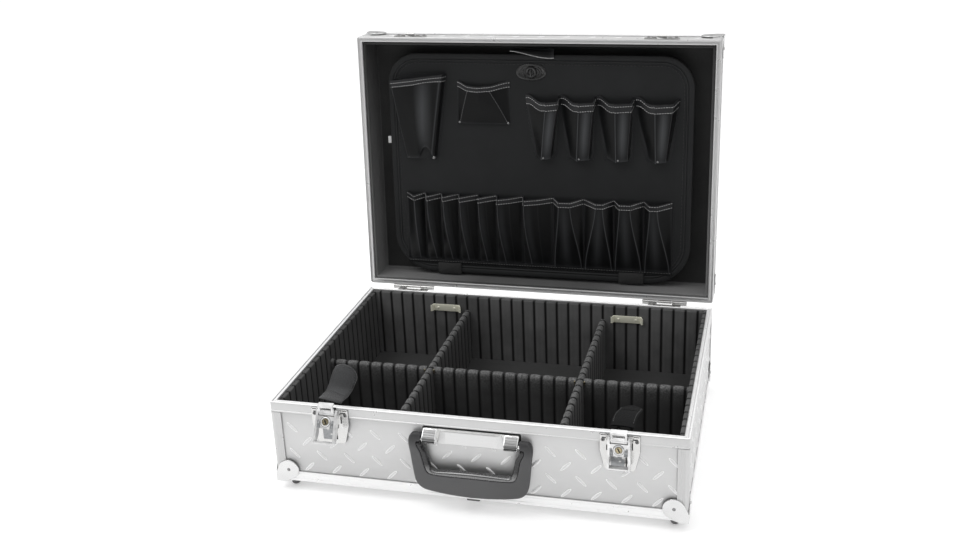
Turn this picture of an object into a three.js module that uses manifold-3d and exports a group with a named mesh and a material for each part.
// Aluminium attache (tool) case, shown standing open.
// Millimetres, +Z up, +Y towards the hinges, front (handle side) towards -Y.
// Origin: centre of the underside of the base shell. The feet reach FOOT_H below z = 0.
// Lid pieces are built in the closed position, then swung open about the hinge axis.
import * as THREE from "three";
import { mergeVertices } from "three/addons/utils/BufferGeometryUtils.js";
import Module from "manifold-3d";

const wasm = await Module();
wasm.setup();

// ---- driving dimensions -------------------------------------------------
const WIDTH = 455;            // outside, left to right
const DEPTH = 329;            // outside, front to back
const BASE_H = 98;            // base shell height
const LID_H = 50;             // lid shell height
const LID_GAP = 0.3;          // gap between the two rims when closed
const LID_OPEN = 93.5;        // degrees the lid stands open
const CLEAR = 0.3;            // working gap
const FRAME_T = 1.0;          // frame sheet
const PANEL_T = 3.7;          // clad panel
const RIM_W = 6.5;            // width of the rim's top
const LINE_IN = 11.5;         // lining face, in from the outside
const FLOOR_Z = 8;            // top of the floor lining
const FOOT_H = 11.8;          // feet below the underside
const HINGE_AXIS = [167, 100.2];     // y, z
const CLIP_X = 121.5;         // pallet clips and back brackets, either side of the middle

const HALF_W = WIDTH / 2, HALF_D = DEPTH / 2;
const LID_Z = BASE_H + LID_GAP;
const PANEL_OUT = FRAME_T + CLEAR;           // panel faces, in from the outside
const PANEL_BACK = PANEL_OUT + PANEL_T;
const LINING_BACK = RIM_W + CLEAR;
const LINED_X = HALF_W - LINE_IN;            // lining face, from the middle
const LINED_Y = HALF_D - LINE_IN;
const SIDES = [["left", -1], ["right", 1]];
const rad = THREE.MathUtils.degToRad;

// ---- solids -------------------------------------------------------------
// weld the bare positions of a geometry into a solid
function solid(geometry) {
  const loose = geometry.index ? geometry.toNonIndexed() : geometry.clone();
  for (const key of Object.keys(loose.attributes)) {
    if (key !== "position") loose.deleteAttribute(key);
  }
  const welded = mergeVertices(loose, 1e-4);
  return new wasm.Manifold(new wasm.Mesh({
    numProp: 3,
    vertProperties: new Float32Array(welded.attributes.position.array),
    triVerts: new Uint32Array(welded.index.array),
  }));
}

function geometryOf(manifold) {
  const mesh = manifold.getMesh();
  const geometry = new THREE.BufferGeometry();
  const positions = new Float32Array(mesh.vertProperties);
  geometry.setAttribute("position", new THREE.BufferAttribute(positions, 3));
  geometry.setIndex(new THREE.BufferAttribute(new Uint32Array(mesh.triVerts), 1));
  return geometry;
}

function solidFrom(positions, index) {
  const geometry = new THREE.BufferGeometry();
  geometry.setAttribute("position", new THREE.Float32BufferAttribute(positions, 3));
  geometry.setIndex(index);
  return solid(geometry);
}

const join = (...parts) => parts.reduce((whole, part) => whole.add(part));
const cut = (body, ...tools) => tools.reduce((rest, tool) => rest.subtract(tool), body);
const shiftX = (manifold, x) => manifold.translate([x, 0, 0]);

function box(x0, x1, y0, y1, z0, z1) {
  const geometry = new THREE.BoxGeometry(x1 - x0, y1 - y0, z1 - z0);
  geometry.translate((x0 + x1) / 2, (y0 + y1) / 2, (z0 + z1) / 2);
  return solid(geometry);
}

// box the size of the case plan, drawn in by `inset` on all four sides
function planBox(inset, z0, z1) {
  return box(-HALF_W + inset, HALF_W - inset, -HALF_D + inset, HALF_D - inset, z0, z1);
}

// cylinder along an axis letter
function rod(axis, radius, length, centre, segments = 12) {
  const geometry = new THREE.CylinderGeometry(radius, radius, length, segments);
  if (axis === "x") geometry.rotateZ(Math.PI / 2);
  geometry.translate(...centre);
  return solid(geometry);
}

function extruded(points, depth, holes = []) {
  const vectors = (list) => list.map(([u, v]) => new THREE.Vector2(u, v));
  const shape = new THREE.Shape(vectors(points));
  for (const hole of holes) shape.holes.push(new THREE.Path(vectors(hole)));
  return new THREE.ExtrudeGeometry(shape, { depth, bevelEnabled: false });
}

// outline in x, y extruded along z
function slabXY(points, z0, z1, holes) {
  return solid(extruded(points, z1 - z0, holes).translate(0, 0, z0));
}

// outline in x, z extruded along y; the turn sends the extrusion towards -y
function slabXZ(points, y0, y1) {
  return solid(extruded(points, y1 - y0).rotateX(Math.PI / 2).translate(0, y1, 0));
}

// outline in y, z extruded along x
function slabYZ(points, x0, x1) {
  const axes = new THREE.Matrix4().set(0, 0, 1, x0, 1, 0, 0, 0, 0, 1, 0, 0, 0, 0, 0, 1);
  return solid(extruded(points, x1 - x0).applyMatrix4(axes));
}

// closed profile [radius, z] turned about z
function turned(profile, centre, segments) {
  const points = profile.map(([radius, z]) => new THREE.Vector2(radius, z));
  const geometry = new THREE.LatheGeometry(points, segments);
  geometry.rotateX(Math.PI / 2);
  geometry.translate(...centre);
  return solid(geometry);
}

// solid between two four-cornered sections, first the one at larger y
function between(first, last) {
  const quad = (i, j, k, l) => [i, j, k, i, k, l];
  return solidFrom([...first, ...last].flat(), [
    ...quad(3, 2, 1, 0), ...quad(4, 5, 6, 7),
    ...quad(0, 1, 5, 4), ...quad(1, 2, 6, 5), ...quad(2, 3, 7, 6), ...quad(3, 0, 4, 7),
  ]);
}

// flat strap of even thickness through stations
// [x, y, z, across y, across z, share of width]; across x is always 1
function ribbon(stations, width, thick) {
  const positions = [], index = [];
  const final = stations.length - 1;
  const centre = (i) => new THREE.Vector3(...stations[i].slice(0, 3));
  stations.forEach(([, , , acrossY, acrossZ, share], i) => {
    const across = new THREE.Vector3(1, acrossY, acrossZ).normalize();
    const along = centre(Math.min(i + 1, final)).sub(centre(Math.max(i - 1, 0))).normalize();
    const up = new THREE.Vector3().crossVectors(across, along).normalize();
    for (const [side, level] of [[-1, -1], [1, -1], [1, 1], [-1, 1]]) {
      const corner = centre(i)
        .addScaledVector(across, (side * width * share) / 2)
        .addScaledVector(up, (level * thick) / 2);
      positions.push(...corner);
    }
  });
  for (let i = 0; i < final; i++) {
    for (let k = 0; k < 4; k++) {
      const here = 4 * i + k, next = 4 * i + ((k + 1) % 4);
      index.push(here, next + 4, next, here, here + 4, next + 4);
    }
  }
  const end = 4 * final;
  index.push(0, 1, 2, 0, 2, 3);
  index.push(end, end + 2, end + 1, end, end + 3, end + 2);
  return solidFrom(positions, index);
}

// points on an arc, angles in degrees
function arc(centreU, centreV, radius, from, to, steps) {
  return Array.from({ length: steps + 1 }, (_, i) => {
    const angle = rad(from + ((to - from) * i) / steps);
    return [centreU + radius * Math.cos(angle), centreV + radius * Math.sin(angle)];
  });
}

function roundedRect(u0, u1, v0, v1, radius, steps) {
  const corner = (u, v, from) => arc(u, v, radius, from, from + 90, steps);
  return [
    ...corner(u1 - radius, v0 + radius, -90), ...corner(u1 - radius, v1 - radius, 0),
    ...corner(u0 + radius, v1 - radius, 90), ...corner(u0 + radius, v0 + radius, 180),
  ];
}

// ---- materials ----------------------------------------------------------
const finish = (settings) => new THREE.MeshStandardMaterial(settings);
const PANEL = finish({ color: 0xd6d7da, roughness: 0.35, metalness: 0.9 });
const FRAME = finish({ color: 0xe6e7ea, roughness: 0.25, metalness: 1 });
const CHROME = finish({ color: 0xeef0f2, roughness: 0.1, metalness: 1 });
const NICKEL = finish({ color: 0xdcdde0, roughness: 0.22, metalness: 1 });
const BRASS = finish({ color: 0xc9ae78, roughness: 0.3, metalness: 1 });
const STEEL = finish({ color: 0xcfc6b8, roughness: 0.4, metalness: 0.9 });
const PLASTIC = finish({ color: 0x54565a, roughness: 0.6, metalness: 0 });
const BLACK = finish({ color: 0x1c1d1f, roughness: 0.5, metalness: 0 });
const RIBBED = finish({ color: 0x2c2e31, roughness: 0.8, metalness: 0 });
const DIVIDER = finish({ color: 0x3a3c40, roughness: 0.8, metalness: 0 });
const LINING = finish({ color: 0x1a1b1d, roughness: 0.9, metalness: 0 });
const PALLET = finish({ color: 0x26282b, roughness: 0.6, metalness: 0 });
const LEATHER = finish({ color: 0x131416, roughness: 0.45, metalness: 0 });
const WEBBING = finish({ color: 0x4a4b4f, roughness: 0.85, metalness: 0 });
const FOOT = finish({ color: 0xbfc0c3, roughness: 0.3, metalness: 1 });

// ---- groups -------------------------------------------------------------
const lid = new THREE.Group();
const caseGroup = new THREE.Group();

function add(parent, name, manifold, material) {
  const mesh = new THREE.Mesh(geometryOf(manifold), material);
  mesh.name = name;
  parent.add(mesh);
}

// turn a group by `angle` about the x-wise axis `axis` [y, z], with that axis carried to `at`
function hang(group, axis, angle, at = axis) {
  const pivot = new THREE.Group();
  pivot.position.set(0, ...at);
  pivot.rotation.x = angle;
  group.position.set(0, -axis[0], -axis[1]);
  pivot.add(group);
  caseGroup.add(pivot);
}

// ---- shells: z runs from the rim (0) to the closed end (height) ----------
const RIM_H = 12;             // rim flange on the outside face
const RIM_TOP_T = 1.6;        // thickness across the rim's top
const RIM_LIP_H = 6;          // rim flange on the inside face
const POST_W = 12;            // corner post on each face
const EDGE_H = 13;            // edge angle round the closed end
const FIELD_IN = 29;          // raised field of the end panel, in from the outside
const OVERLAP = 0.02;         // sinks the raised field into its panel

// channel over the panel edges
function rimChannel() {
  return cut(
    planBox(0, 0, RIM_H),
    planBox(RIM_W, -1, RIM_H + 1),
    cut(planBox(FRAME_T, RIM_TOP_T, RIM_H + 1), planBox(RIM_W - FRAME_T, 0, RIM_LIP_H)),
  );
}

// corner posts and the edge angle round the closed end
function edgeFrame(height) {
  const openTo = height - EDGE_H;
  return cut(
    planBox(0, RIM_H + CLEAR, height),
    planBox(FRAME_T, 0, height - FRAME_T),
    box(-HALF_W + POST_W, HALF_W - POST_W, -HALF_D - 1, HALF_D + 1, 0, openTo),
    box(-HALF_W - 1, HALF_W + 1, -HALF_D + POST_W, HALF_D - POST_W, 0, openTo),
    planBox(EDGE_H, 0, height + 1),
  );
}

function sidePanels(height) {
  return cut(planBox(PANEL_OUT, 2, height - PANEL_OUT), planBox(PANEL_BACK, -1, height + 1));
}

function endPanel(height) {
  return join(
    planBox(PANEL_BACK + CLEAR, height - PANEL_BACK, height - PANEL_OUT),
    planBox(FIELD_IN, height - PANEL_OUT - OVERLAP, height),
  );
}

function addShell(parent, prefix, endName, height, place) {
  add(parent, `${prefix}_rim`, place(rimChannel()), FRAME);
  add(parent, `${prefix}_edge_frame`, place(edgeFrame(height)), FRAME);
  add(parent, `${prefix}_side_panels`, place(sidePanels(height)), PANEL);
  add(parent, `${prefix}_${endName}_panel`, place(endPanel(height)), PANEL);
}
// the base is turned over, closed end down
addShell(caseGroup, "base", "bottom", BASE_H,
  (part) => part.mirror([0, 0, 1]).translate([0, 0, BASE_H]));
addShell(lid, "lid", "top", LID_H, (part) => part.translate([0, 0, LID_Z]));

// ---- corner caps and feet -----------------------------------------------
const CAP_T = 1.1;            // cap sheet
const CAP_GAP = 0.15;         // cap stands off the shell
const CAP_C = 14.8;           // lobe centre from the corner
const CAP_R = 12;
const FOOT_PROFILE = [        // radius, z
  [0, -FOOT_H], [1.8, -FOOT_H], [3.4, -FOOT_H + 0.6], [4.5, -FOOT_H + 1.7],
  [5.1, -FOOT_H + 3.4], [5.2, -4.2], [6.2, -2.6], [6.2, -1.27], [0, -1.27],
];

// pressed cap, one lobe on each face; corner at the origin, case towards +x +y +z
function cornerCap() {
  const outer = -(CAP_GAP + CAP_T);
  const lobe = [
    [outer, outer], [9, outer], ...arc(CAP_C, CAP_C, CAP_R, -62, 152, 14), [outer, 9],
  ];
  return join(...[slabXY, slabXZ, slabYZ].map((slab) => slab(lobe, outer, -CAP_GAP)));
}

const cap = cornerCap();
for (const [depthName, signY] of [["front", -1], ["back", 1]]) {
  for (const [sideName, signX] of SIDES) {
    const corner = `${depthName}_${sideName}`;
    const placeCap = (signZ, z) =>
      cap.scale([-signX, -signY, -signZ]).translate([signX * HALF_W, signY * HALF_D, z]);
    const footAt = [signX * (HALF_W - CAP_C), signY * (HALF_D - CAP_C), 0];
    add(caseGroup, `base_corner_${corner}`, placeCap(-1, 0), CHROME);
    add(lid, `lid_corner_${corner}`, placeCap(1, LID_Z + LID_H), CHROME);
    add(caseGroup, `foot_${corner}`, turned(FOOT_PROFILE, footAt, 16), FOOT);
  }
}

// ---- linings ------------------------------------------------------------
const RIB_PITCH = 15;
const RIB_GROOVE = 2.6;       // groove width at its mouth
const RIB_FLOOR = 0.6;        // groove floor, as a share of the mouth
const RIB_END = 2;            // least plain length beyond the last groove
const WALL_RIB_DEEP = 1.6;
const WALL_LINING_TOP = 95.5;
const LID_LINE_IN = 10;       // lid lining face, in from the outside
const LID_LINING_T = 2;       // under the lid top
const LID_LINING_BELOW = 2.5; // lower edge above the lid rim

// grooved edge as [along, into the groove], from -half up to the last groove
function ribbedEdge(half, depth) {
  const mouth = RIB_GROOVE / 2, floor = mouth * RIB_FLOOR;
  const reach = Math.floor((half - mouth - RIB_END) / RIB_PITCH);
  const points = [[-half, 0]];
  for (let k = -reach; k <= reach; k++) {
    const c = k * RIB_PITCH;
    points.push([c - mouth, 0], [c - floor, depth], [c + floor, depth], [c + mouth, 0]);
  }
  return points;
}

function wallLining() {
  const backX = HALF_W - LINING_BACK, backY = HALF_D - LINING_BACK;
  const xEdge = ribbedEdge(LINED_X, WALL_RIB_DEEP);
  const yEdge = ribbedEdge(LINED_Y, WALL_RIB_DEEP);
  const face = [
    ...xEdge.map(([along, into]) => [along, -LINED_Y - into]),
    ...yEdge.map(([along, into]) => [LINED_X + into, along]),
    ...xEdge.map(([along, into]) => [-along, LINED_Y + into]),
    ...yEdge.map(([along, into]) => [-LINED_X - into, -along]),
  ];
  const back = [[-backX, -backY], [backX, -backY], [backX, backY], [-backX, backY]];
  return slabXY(back, PANEL_BACK + CLEAR, WALL_LINING_TOP, [face]);
}

function lidLining() {
  const top = LID_Z + LID_H - PANEL_BACK - CLEAR;
  return cut(
    planBox(LINING_BACK, LID_Z + LID_LINING_BELOW, top),
    planBox(LID_LINE_IN, LID_Z, top - LID_LINING_T),
  );
}
add(caseGroup, "base_wall_lining", wallLining(), RIBBED);
add(caseGroup, "base_floor_lining", planBox(LINE_IN + CLEAR, PANEL_BACK + CLEAR, FLOOR_Z), LINING);
add(lid, "lid_lining", lidLining(), LINING);

// ---- dividers: ribbed both sides, halved into each other ----------------
const DIV_T = 8.5;            // divider thickness
const DIV_TOP = 77.5;
const DIV_X = 90;             // the two front-to-back dividers
const DIV_Y = -15;            // the cross divider
const DIV_END_GAP = 0.4;      // divider end to lining face
const DIV_RIB_DEEP = 1.0;
const HALVING_Z = 43;         // where the dividers meet in the halving
const HALVING_HALF = DIV_T / 2 + CLEAR;      // half width of a halving slot

function ribbedBar(lined) {
  const half = lined - DIV_END_GAP, face = DIV_T / 2;
  const edge = ribbedEdge(half, DIV_RIB_DEEP);
  return slabXY([
    ...edge.map(([along, into]) => [along, -face + into]), [half, -face],
    ...edge.map(([along, into]) => [-along, face - into]), [-half, face],
  ], FLOOR_Z + CLEAR, DIV_TOP);
}

function crossDivider() {
  const slots = [-DIV_X, DIV_X].map((x) => box(x - HALVING_HALF, x + HALVING_HALF,
    DIV_Y - 10, DIV_Y + 10, HALVING_Z - CLEAR / 2, 200));
  return cut(ribbedBar(LINED_X).translate([0, DIV_Y, 0]), ...slots);
}

function sideDivider(x) {
  const slot = box(x - 10, x + 10, DIV_Y - HALVING_HALF, DIV_Y + HALVING_HALF,
    -1, HALVING_Z + CLEAR / 2);
  return cut(shiftX(ribbedBar(LINED_Y).rotate([0, 0, 90]), x), slot);
}
add(caseGroup, "divider_cross", crossDivider(), DIVIDER);
for (const [side, sign] of SIDES) {
  add(caseGroup, `divider_${side}`, sideDivider(sign * DIV_X), DIVIDER);
}

// ---- brackets on the inside back wall that catch the pallet clips -------
const BRACKET_OUTLINE = [     // x from the bracket's middle, z
  [-19, 73], [-17, 72], [17, 72], [19, 73], [19, 83], [17, 84], [-17, 84], [-19, 83],
];

function backBracket() {
  const y = LINED_Y - CLEAR;
  return join(
    slabXZ(BRACKET_OUTLINE, y - 1.2, y),
    box(-19, -17.4, y - 4.6, y - 0.6, 73.5, 82.5),
    box(17.4, 19, y - 4.6, y - 0.6, 73.5, 82.5),
  );
}
for (const [side, sign] of SIDES) {
  add(caseGroup, `back_bracket_${side}`, shiftX(backBracket(), sign * CLIP_X), STEEL);
}

// ---- straps at the front rim --------------------------------------------
const STRAP_T = 1.8;
// x, y, z, across y, across z, share of width
const LEFT_STRAP = [          // stands up
  [-162.0, -149.6, 98.6, 0, 0, 1],
  [-160.5, -144.0, 99.6, 0.04, 0, 1],
  [-158.2, -137.0, 101.6, 0.10, 0.02, 1],
  [-156.0, -132.4, 106.5, 0.16, -0.12, 1],
  [-152.5, -130.6, 115.0, 0.22, -0.3, 1],
  [-148.4, -130.8, 124.0, 0.22, -0.34, 1],
  [-144.6, -131.8, 131.5, 0.2, -0.36, 0.62],
];
const RIGHT_STRAP = [         // droops into the case
  [157.6, -149.6, 98.8, 0, 0, 1],
  [157.8, -142.0, 100.2, 0, 0, 1],
  [158.2, -130.0, 99.6, 0, 0, 1],
  [158.8, -117.0, 96.2, 0, 0, 1],
  [159.2, -104.5, 91.6, 0, 0, 1],
  [158.8, -94.0, 87.2, 0, 0, 1],
  [158.2, -84.0, 83.2, 0, 0, 0.9],
  [157.6, -75.0, 80.4, 0, 0, 0.55],
];
add(caseGroup, "strap_left", ribbon(LEFT_STRAP, 28, STRAP_T), WEBBING);
add(caseGroup, "strap_right", ribbon(RIGHT_STRAP, 27, STRAP_T), WEBBING);

// ---- latches: each piece is built about x = 0 ---------------------------
const LATCH_X = 157;                 // latch centres
const LEVER_AXIS = [-168.0, 95.2];   // y, z
const CLAW_AXIS = [-171.5, 92.7];    // y, z, lever closed
const LEVER_LIFT = { left: 25, right: 0 };   // degrees
const CLAW_LEAN = 16;                // degrees the claws lean out
const PIN_R = 1.0, PIN_BORE_R = 1.3;
const LOCK_Z = 84.1;                 // key cylinder
const LATCH_PLATE_OUTLINE = [        // x, z
  [-20.8, 95.8], [-20.8, 78], [-16.0, 57.6], [-14.0, 55.6], [14.0, 55.6], [16.0, 57.6],
  [20.8, 78], [20.8, 95.8], [19.8, 96.8], [-19.8, 96.8],
];
const EAR_OUTLINE = [                // y, z
  [-166.0, 89.4], [-166.0, 96.4], [-167.0, 97.3], [-169.0, 97.5], [-170.6, 95.2],
  [-168.6, 91.8],
];
const LEVER_SIDE = [                 // y, z
  [-166.6, 91.2], [-166.6, 70], [-170.4, 61.2], [-175.2, 60.2], [-176.5, 61.6],
  [-174.1, 90.7], [-173.4, 95.3], [-171.9, 96.8], [-168.6, 96.8], [-167.0, 96.4],
  [-166.4, 95.2],
];
const LEVER_FRONT = [                // x, z
  [-12.2, 58], [12.2, 58], [11.6, 80], [11.6, 100], [-11.6, 100], [-11.6, 80],
];
const LEVER_WINDOW = [[-10.0, 62.8], [10.0, 62.8], [9.3, 77.0], [-9.3, 77.0]];   // x, z
const CATCH_OUTLINE = [              // x, z
  [-21, 99.0], [21, 99.0], [21, 104], [17, 111], [15, 112], [-15, 112], [-17, 111],
  [-21, 104],
];
const CATCH_NOSE = [                 // y, z
  [-165.0, 98.9], [-168.2, 99.2], [-169.4, 100.4], [-169.4, 101.6], [-168.8, 102.3],
  [-167.4, 102.3], [-166.8, 103.6], [-165.0, 106.0],
];

// plate with two ears, the lever's pivot rod and two slots
function latchPlate() {
  const slots = [-15.8, 15.8].map((x) => box(x - 2.6, x + 2.6, -168, -164, 91.5, 93.1));
  return cut(
    join(
      slabXZ(LATCH_PLATE_OUTLINE, -166.1, -164.7),
      slabYZ(EAR_OUTLINE, -13.9, -12.1),
      slabYZ(EAR_OUTLINE, 12.1, 13.9),
      rod("x", PIN_R, 27, [0, ...LEVER_AXIS]),
    ),
    ...slots,
  );
}

// deeper towards the free lower end, windowed, hollow behind
function latchLever() {
  const body = slabYZ(LEVER_SIDE, -15, 15).intersect(slabXZ(LEVER_FRONT, -190, -150));
  const clawNotch = box(-9.2, 9.2, -190, -150, 90.1, 102);
  const hollow = box(-9.7, 9.7, -169.6, -150, 64.4, 88.2);
  return cut(
    body,
    clawNotch,
    slabXZ(LEVER_WINDOW, -190, -150),
    rod("x", PIN_BORE_R, 40, [0, ...LEVER_AXIS]),
    rod("x", PIN_BORE_R, 40, [0, ...CLAW_AXIS]),
    rod("y", 4.8, 40, [0, -172, LOCK_Z], 20),
    hollow,
  );
}

// drum with a raised face and a keyway
function lockCylinder() {
  const drum = rod("y", 4.5, 6.6, [0, -172.2, LOCK_Z], 20);
  const face = rod("y", 3.4, 1.0, [0, -175.9, LOCK_Z], 16);
  return cut(join(drum, face), box(-0.6, 0.6, -180, -174.6, LOCK_Z - 2.4, LOCK_Z + 2.4));
}

// windowed plate with a hook at the top and a barrel round its pin
function latchClaw() {
  const plate = box(-8.5, 8.5, -173.0, -170.6, CLAW_AXIS[1], 104.7);
  const hook = box(-8.5, 8.5, -173.0, -167.2, 102.7, 104.7);
  const barrel = rod("x", 2.3, 17, [0, ...CLAW_AXIS], 16);
  const window = box(-6.3, 6.3, -180, -160, 96.4, 101.9);
  return cut(join(plate, hook, barrel), window, rod("x", PIN_BORE_R, 40, [0, ...CLAW_AXIS]));
}

// plate on the lid and the nose the claw hooks over
function lidCatch() {
  return join(slabXZ(CATCH_OUTLINE, -166.0, -164.8), slabYZ(CATCH_NOSE, -5.8, 5.8));
}

for (const [side, sign] of SIDES) {
  const place = (part) => shiftX(part, sign * LATCH_X);
  const lift = -rad(LEVER_LIFT[side]);
  add(caseGroup, `latch_plate_${side}`, place(latchPlate()), NICKEL);

  const leverGroup = new THREE.Group();
  hang(leverGroup, LEVER_AXIS, lift);
  add(leverGroup, `latch_lever_${side}`, place(latchLever()), NICKEL);
  add(leverGroup, `lock_cylinder_${side}`, place(lockCylinder()), BRASS);
  add(leverGroup, `claw_pin_${side}`, place(rod("x", PIN_R, 22.8, [0, ...CLAW_AXIS])), CHROME);

  // the claw's pin rises with the lever, but the claw keeps its own lean
  const clawGroup = new THREE.Group();
  const pinAt = new THREE.Vector2(...CLAW_AXIS)
    .rotateAround(new THREE.Vector2(...LEVER_AXIS), lift);
  hang(clawGroup, CLAW_AXIS, rad(CLAW_LEAN), pinAt.toArray());
  add(clawGroup, `latch_claw_${side}`, place(latchClaw()), CHROME);
  add(lid, `lid_catch_${side}`, place(lidCatch()), NICKEL);
}

// ---- handle -------------------------------------------------------------
const GRIP_AXIS = [-171, 74];        // y, z
const BRACKET_HALF = 52;             // half length of the bracket
const ROLL_IN = 36.8;                // inner end of each roll
const GRIP_FRONT = -175.2, GRIP_BACK = -165.6;
const BRACKET_MID = [[-32.5, 82.8], [32.5, 82.8], [36, 67.6], [-36, 67.6]];   // x, z
// y, z: sheet rolled round the pivot pin, sloping back up to the plate
const ROLL_OUTLINE = [
  [-165.2, 83.8], [-166.4, 83.8], [-173.6, 78.2],
  ...arc(...GRIP_AXIS, 5, 148, 274, 7),
  [-167.6, 67.8], [-165.2, 67.8],
];
const GRIP_HALF = [                  // x, z: right half, along the bottom, up the leg and back
  [0, 8.3], [20, 9.2], [36, 11], [53.5, 14.6], [59, 19], [61.4, 23.5], [62.7, 29],
  [64.9, 48], [65.8, 57], [67.2, 68], [66.8, 74.5], [64.8, 78.6], [61, 80.9], [55, 81.3],
  [53.5, 80.3], [53.5, 68], [51.5, 64.5], [48.4, 60], [46.9, 50], [45.3, 42],
  [43.4, 38.2], [40, 36.8], [20, 37.2], [0, 37.5],
];
// y, z: leg tops rounded about the pivot to clear the panel as the handle swings
const GRIP_SIDE = [
  [GRIP_FRONT, 0], [GRIP_BACK, 0], [GRIP_BACK, 78.6], [-166.8, 79.9], [-169, 81.0],
  [-171.5, 81.4], [-173.6, 81.0], [GRIP_FRONT, 79],
];

function handleBracket() {
  return join(
    box(-BRACKET_HALF, BRACKET_HALF, -165.6, -163.6, 67, 84.3),
    slabXZ(BRACKET_MID, -168.2, -165.4),
    join(slabYZ(ROLL_OUTLINE, -BRACKET_HALF, -ROLL_IN), rod("x", 2.0, 14, [-57, ...GRIP_AXIS])),
    join(slabYZ(ROLL_OUTLINE, ROLL_IN, BRACKET_HALF), rod("x", 2.0, 14, [57, ...GRIP_AXIS])),
  );
}

function handleGrip() {
  const leftHalf = GRIP_HALF.slice(1, -1).reverse().map(([x, z]) => [-x, z]);
  return cut(
    slabXZ([...GRIP_HALF, ...leftHalf], GRIP_FRONT, GRIP_BACK)
      .intersect(slabYZ(GRIP_SIDE, -80, 80)),
    rod("x", 2.3, 15, [-57.5, ...GRIP_AXIS]),
    rod("x", 2.3, 15, [57.5, ...GRIP_AXIS]),
  );
}
add(caseGroup, "handle_bracket", handleBracket(), CHROME);
add(caseGroup, "handle_grip", handleGrip(), PLASTIC);

// ---- hinges: each piece is built about x = 0 ----------------------------
const HINGE_X = 167;                 // hinge centres
const LEAF_HALF = 28;                // half length of a leaf
const LID_KNUCKLE = 9;               // half length of the lid's middle knuckle
const BASE_KNUCKLE_IN = 9.5;         // inner ends of the base's outer knuckles
const LEAF_IN = HALF_D + CLEAR, LEAF_OUT = LEAF_IN + 1.2;

function hingeLeaf(z0, z1, knuckles, tongueZ0, tongueZ1) {
  const parts = [slabXZ(roundedRect(-LEAF_HALF, LEAF_HALF, z0, z1, 4, 3), LEAF_IN, LEAF_OUT)];
  for (const [x0, x1] of knuckles) {
    parts.push(box(x0, x1, LEAF_IN, LEAF_OUT, tongueZ0, tongueZ1));
    parts.push(rod("x", 2.1, x1 - x0, [(x0 + x1) / 2, ...HINGE_AXIS], 16));
  }
  return cut(join(...parts), rod("x", 1.15, 80, [0, ...HINGE_AXIS]));
}

const baseKnuckles = [[-LEAF_HALF, -BASE_KNUCKLE_IN], [BASE_KNUCKLE_IN, LEAF_HALF]];
const lidKnuckles = [[-LID_KNUCKLE, LID_KNUCKLE]];
for (const [side, sign] of SIDES) {
  const place = (part) => shiftX(part, sign * HINGE_X);
  const baseLeaf = hingeLeaf(74, 96.5, baseKnuckles, 92, HINGE_AXIS[1]);
  const lidLeaf = hingeLeaf(104.5, 122, lidKnuckles, HINGE_AXIS[1], 108);
  add(caseGroup, `hinge_leaf_base_${side}`, place(baseLeaf), NICKEL);
  add(lid, `hinge_leaf_lid_${side}`, place(lidLeaf), NICKEL);
  add(caseGroup, `hinge_pin_${side}`, place(rod("x", 0.85, 57, [0, ...HINGE_AXIS])), CHROME);
}

// ---- pallet in the lid --------------------------------------------------
// `up` runs from the hinge edge, `deep` from the rim towards the lid top
const PALLET_UP = [14, 306], PALLET_X = 196, PALLET_R = 40;
const PALLET_DEEP = 22, PALLET_T = 4;
const FACE = PALLET_DEEP - CLEAR;    // depth of the pockets' backs, just in front of the pallet
const POCKET_BACK_T = 1.2;
const lidY = (up) => HALF_D - up;
const lidZ = (deep) => LID_Z + deep;

// box by x, up and deep ranges
function lidBox(x0, x1, up0, up1, deep0, deep1) {
  return box(x0, x1, lidY(up1), lidY(up0), lidZ(deep0), lidZ(deep1));
}

function palletBoard() {
  const [up0, up1] = PALLET_UP;
  return slabXY(roundedRect(-PALLET_X, PALLET_X, lidY(up1), lidY(up0), PALLET_R, 6),
    lidZ(PALLET_DEEP), lidZ(PALLET_DEEP + PALLET_T));
}
add(lid, "pallet", palletBoard(), PALLET);

// pocket between two sections [x0, x1, up, deep of its front]; always open at the top,
// and at the bottom too when openBottom is set
function pocket(bottom, top, wall, openBottom = false) {
  const ring = ([x0, x1, up, deep], inset, rear) => [
    [x0 + inset, lidY(up), lidZ(deep + inset)], [x1 - inset, lidY(up), lidZ(deep + inset)],
    [x1 - inset, lidY(up), lidZ(rear)], [x0 + inset, lidY(up), lidZ(rear)],
  ];
  const section = (share) => bottom.map((value, i) => value + (top[i] - value) * share);
  const inner = (share) => ring(section(share), wall, FACE - POCKET_BACK_T);
  return between(ring(bottom, 0, FACE), ring(top, 0, FACE))
    .subtract(between(inner(openBottom ? -0.2 : 0.06), inner(1.15)));
}
add(lid, "pocket_large", pocket([-175, -134, 169, 17.6], [-191, -120, 277, 8.5], 1.2), LEATHER);
add(lid, "pocket_square",
  pocket([-101.5, -36, 217.5, 16.5], [-103.5, -34.5, 271, 14], 1.0), LEATHER);

// pockets side by side between seams (x) on one backing;
// bottomShare is the bottom width as a share of the top width
function seamedPockets(options) {
  const { seams, seamHalf, backing, bottomShare, bottom, top, wall, openBottom } = options;
  let row = lidBox(seams[0], seams.at(-1), ...backing, FACE - POCKET_BACK_T, FACE);
  for (let i = 0; i + 1 < seams.length; i++) {
    const x0 = seams[i] + seamHalf, x1 = seams[i + 1] - seamHalf;
    const middle = (x0 + x1) / 2, reach = ((x1 - x0) / 2) * bottomShare;
    row = row.add(pocket([middle - reach, middle + reach, ...bottom],
      [x0, x1, ...top(i)], wall, openBottom));
  }
  return row;
}
add(lid, "loop_strip", seamedPockets({
  seams: [-15.5, 28.5, 74.5, 122.5, 179.5],
  seamHalf: 0.6,
  backing: [174, 255],
  bottomShare: 0.55,
  bottom: [175, 15.5],
  top: () => [253, 9],
  wall: 1.1,
  openBottom: true,
}), LEATHER);

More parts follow.
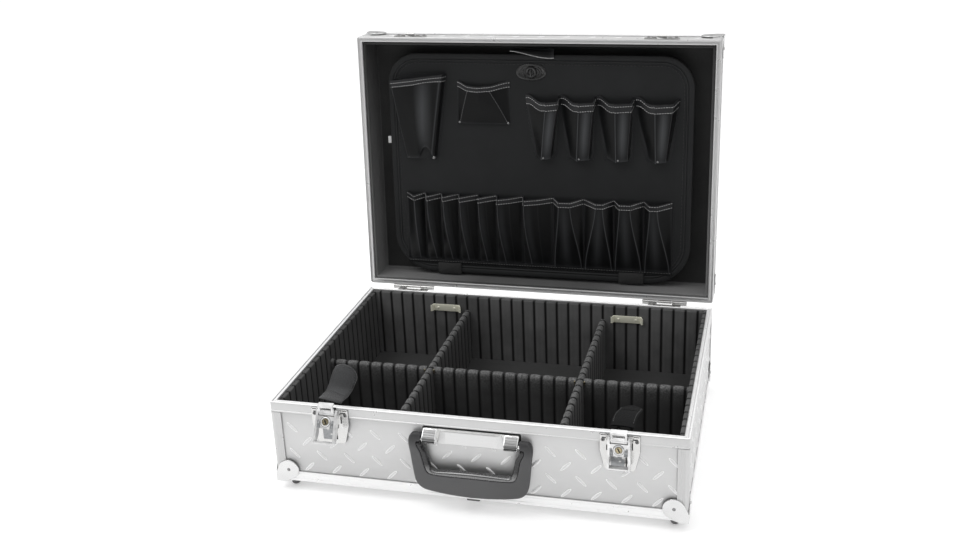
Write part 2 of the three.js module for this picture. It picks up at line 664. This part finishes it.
// seams of the long row, from the lid's left side
const ROW_SEAMS = [50, 75, 97, 121, 147.6, 172, 207, 247, 287, 326, 364, 400];
add(lid, "pocket_row", seamedPockets({
  seams: ROW_SEAMS.map((fromLeft) => fromLeft - HALF_W),
  seamHalf: 0.4,
  backing: [30, 124],
  bottomShare: 0.8,
  bottom: [32, 17.5],
  top: (i) => [121, i < 5 ? 12.5 : 10],    // the five narrow pockets are shallower
  wall: 0.9,
}), LEATHER);

// ---- pallet strap, turn lock and clips ----------------------------------
const PALLET_STRAP = [               // x, up
  [-34, 300], [-34, 309], [-24, 312.4], [-6, 313.6], [12, 312.4], [22, 309], [22, 300],
];
const LOCK_AT = [-7, lidY(284)];     // x, y
const KNOB_PROFILE = [               // radius, z from FACE
  [0, -6.6], [6.2, -6.6], [7.4, -5.6], [7.4, -2.4], [5.2, -1.8], [5.2, -1.75], [0, -1.75],
];
const KNOB_DISH = [[0, -8], [4.6, -8], [4.0, -5.2], [0, -5.2]];   // radius, z from FACE

function turnLockPlate() {
  const [x, y] = LOCK_AT;
  const oval = Array.from({ length: 20 }, (_, i) => {
    const angle = rad(i * 18);
    return [x + 19 * Math.cos(angle), y + 10.5 * Math.sin(angle)];
  });
  return slabXY(oval, lidZ(FACE - 1.4), lidZ(FACE));
}

// dished knob with a bar across the dish
function turnLockKnob() {
  const [x, y] = LOCK_AT;
  const centre = [x, y, lidZ(FACE)];
  return cut(turned(KNOB_PROFILE, centre, 20), turned(KNOB_DISH, centre, 16))
    .add(box(x - 4.3, x + 4.3, y - 1.0, y + 1.0, lidZ(FACE - 6.4), lidZ(FACE - 5.0)));
}

function palletClip() {
  return join(
    lidBox(-16, 16, 12.2, 27.5, FACE - 2.4, FACE),
    lidBox(-16, 16, 12.2, 13.7, FACE - 2.4, 27),
  );
}
add(lid, "pallet_strap", slabXY(PALLET_STRAP.map(([x, up]) => [x, lidY(up)]),
  lidZ(FACE - 2.2), lidZ(FACE)), WEBBING);
add(lid, "turn_lock_plate", turnLockPlate(), NICKEL);
add(lid, "turn_lock_knob", turnLockKnob(), CHROME);
for (const [side, sign] of SIDES) {
  add(lid, `pallet_clip_${side}`, shiftX(palletClip(), sign * CLIP_X), BLACK);
}

// ---- stand the lid open about the hinge axis ----------------------------
hang(lid, HINGE_AXIS, -rad(LID_OPEN));

export default caseGroup;
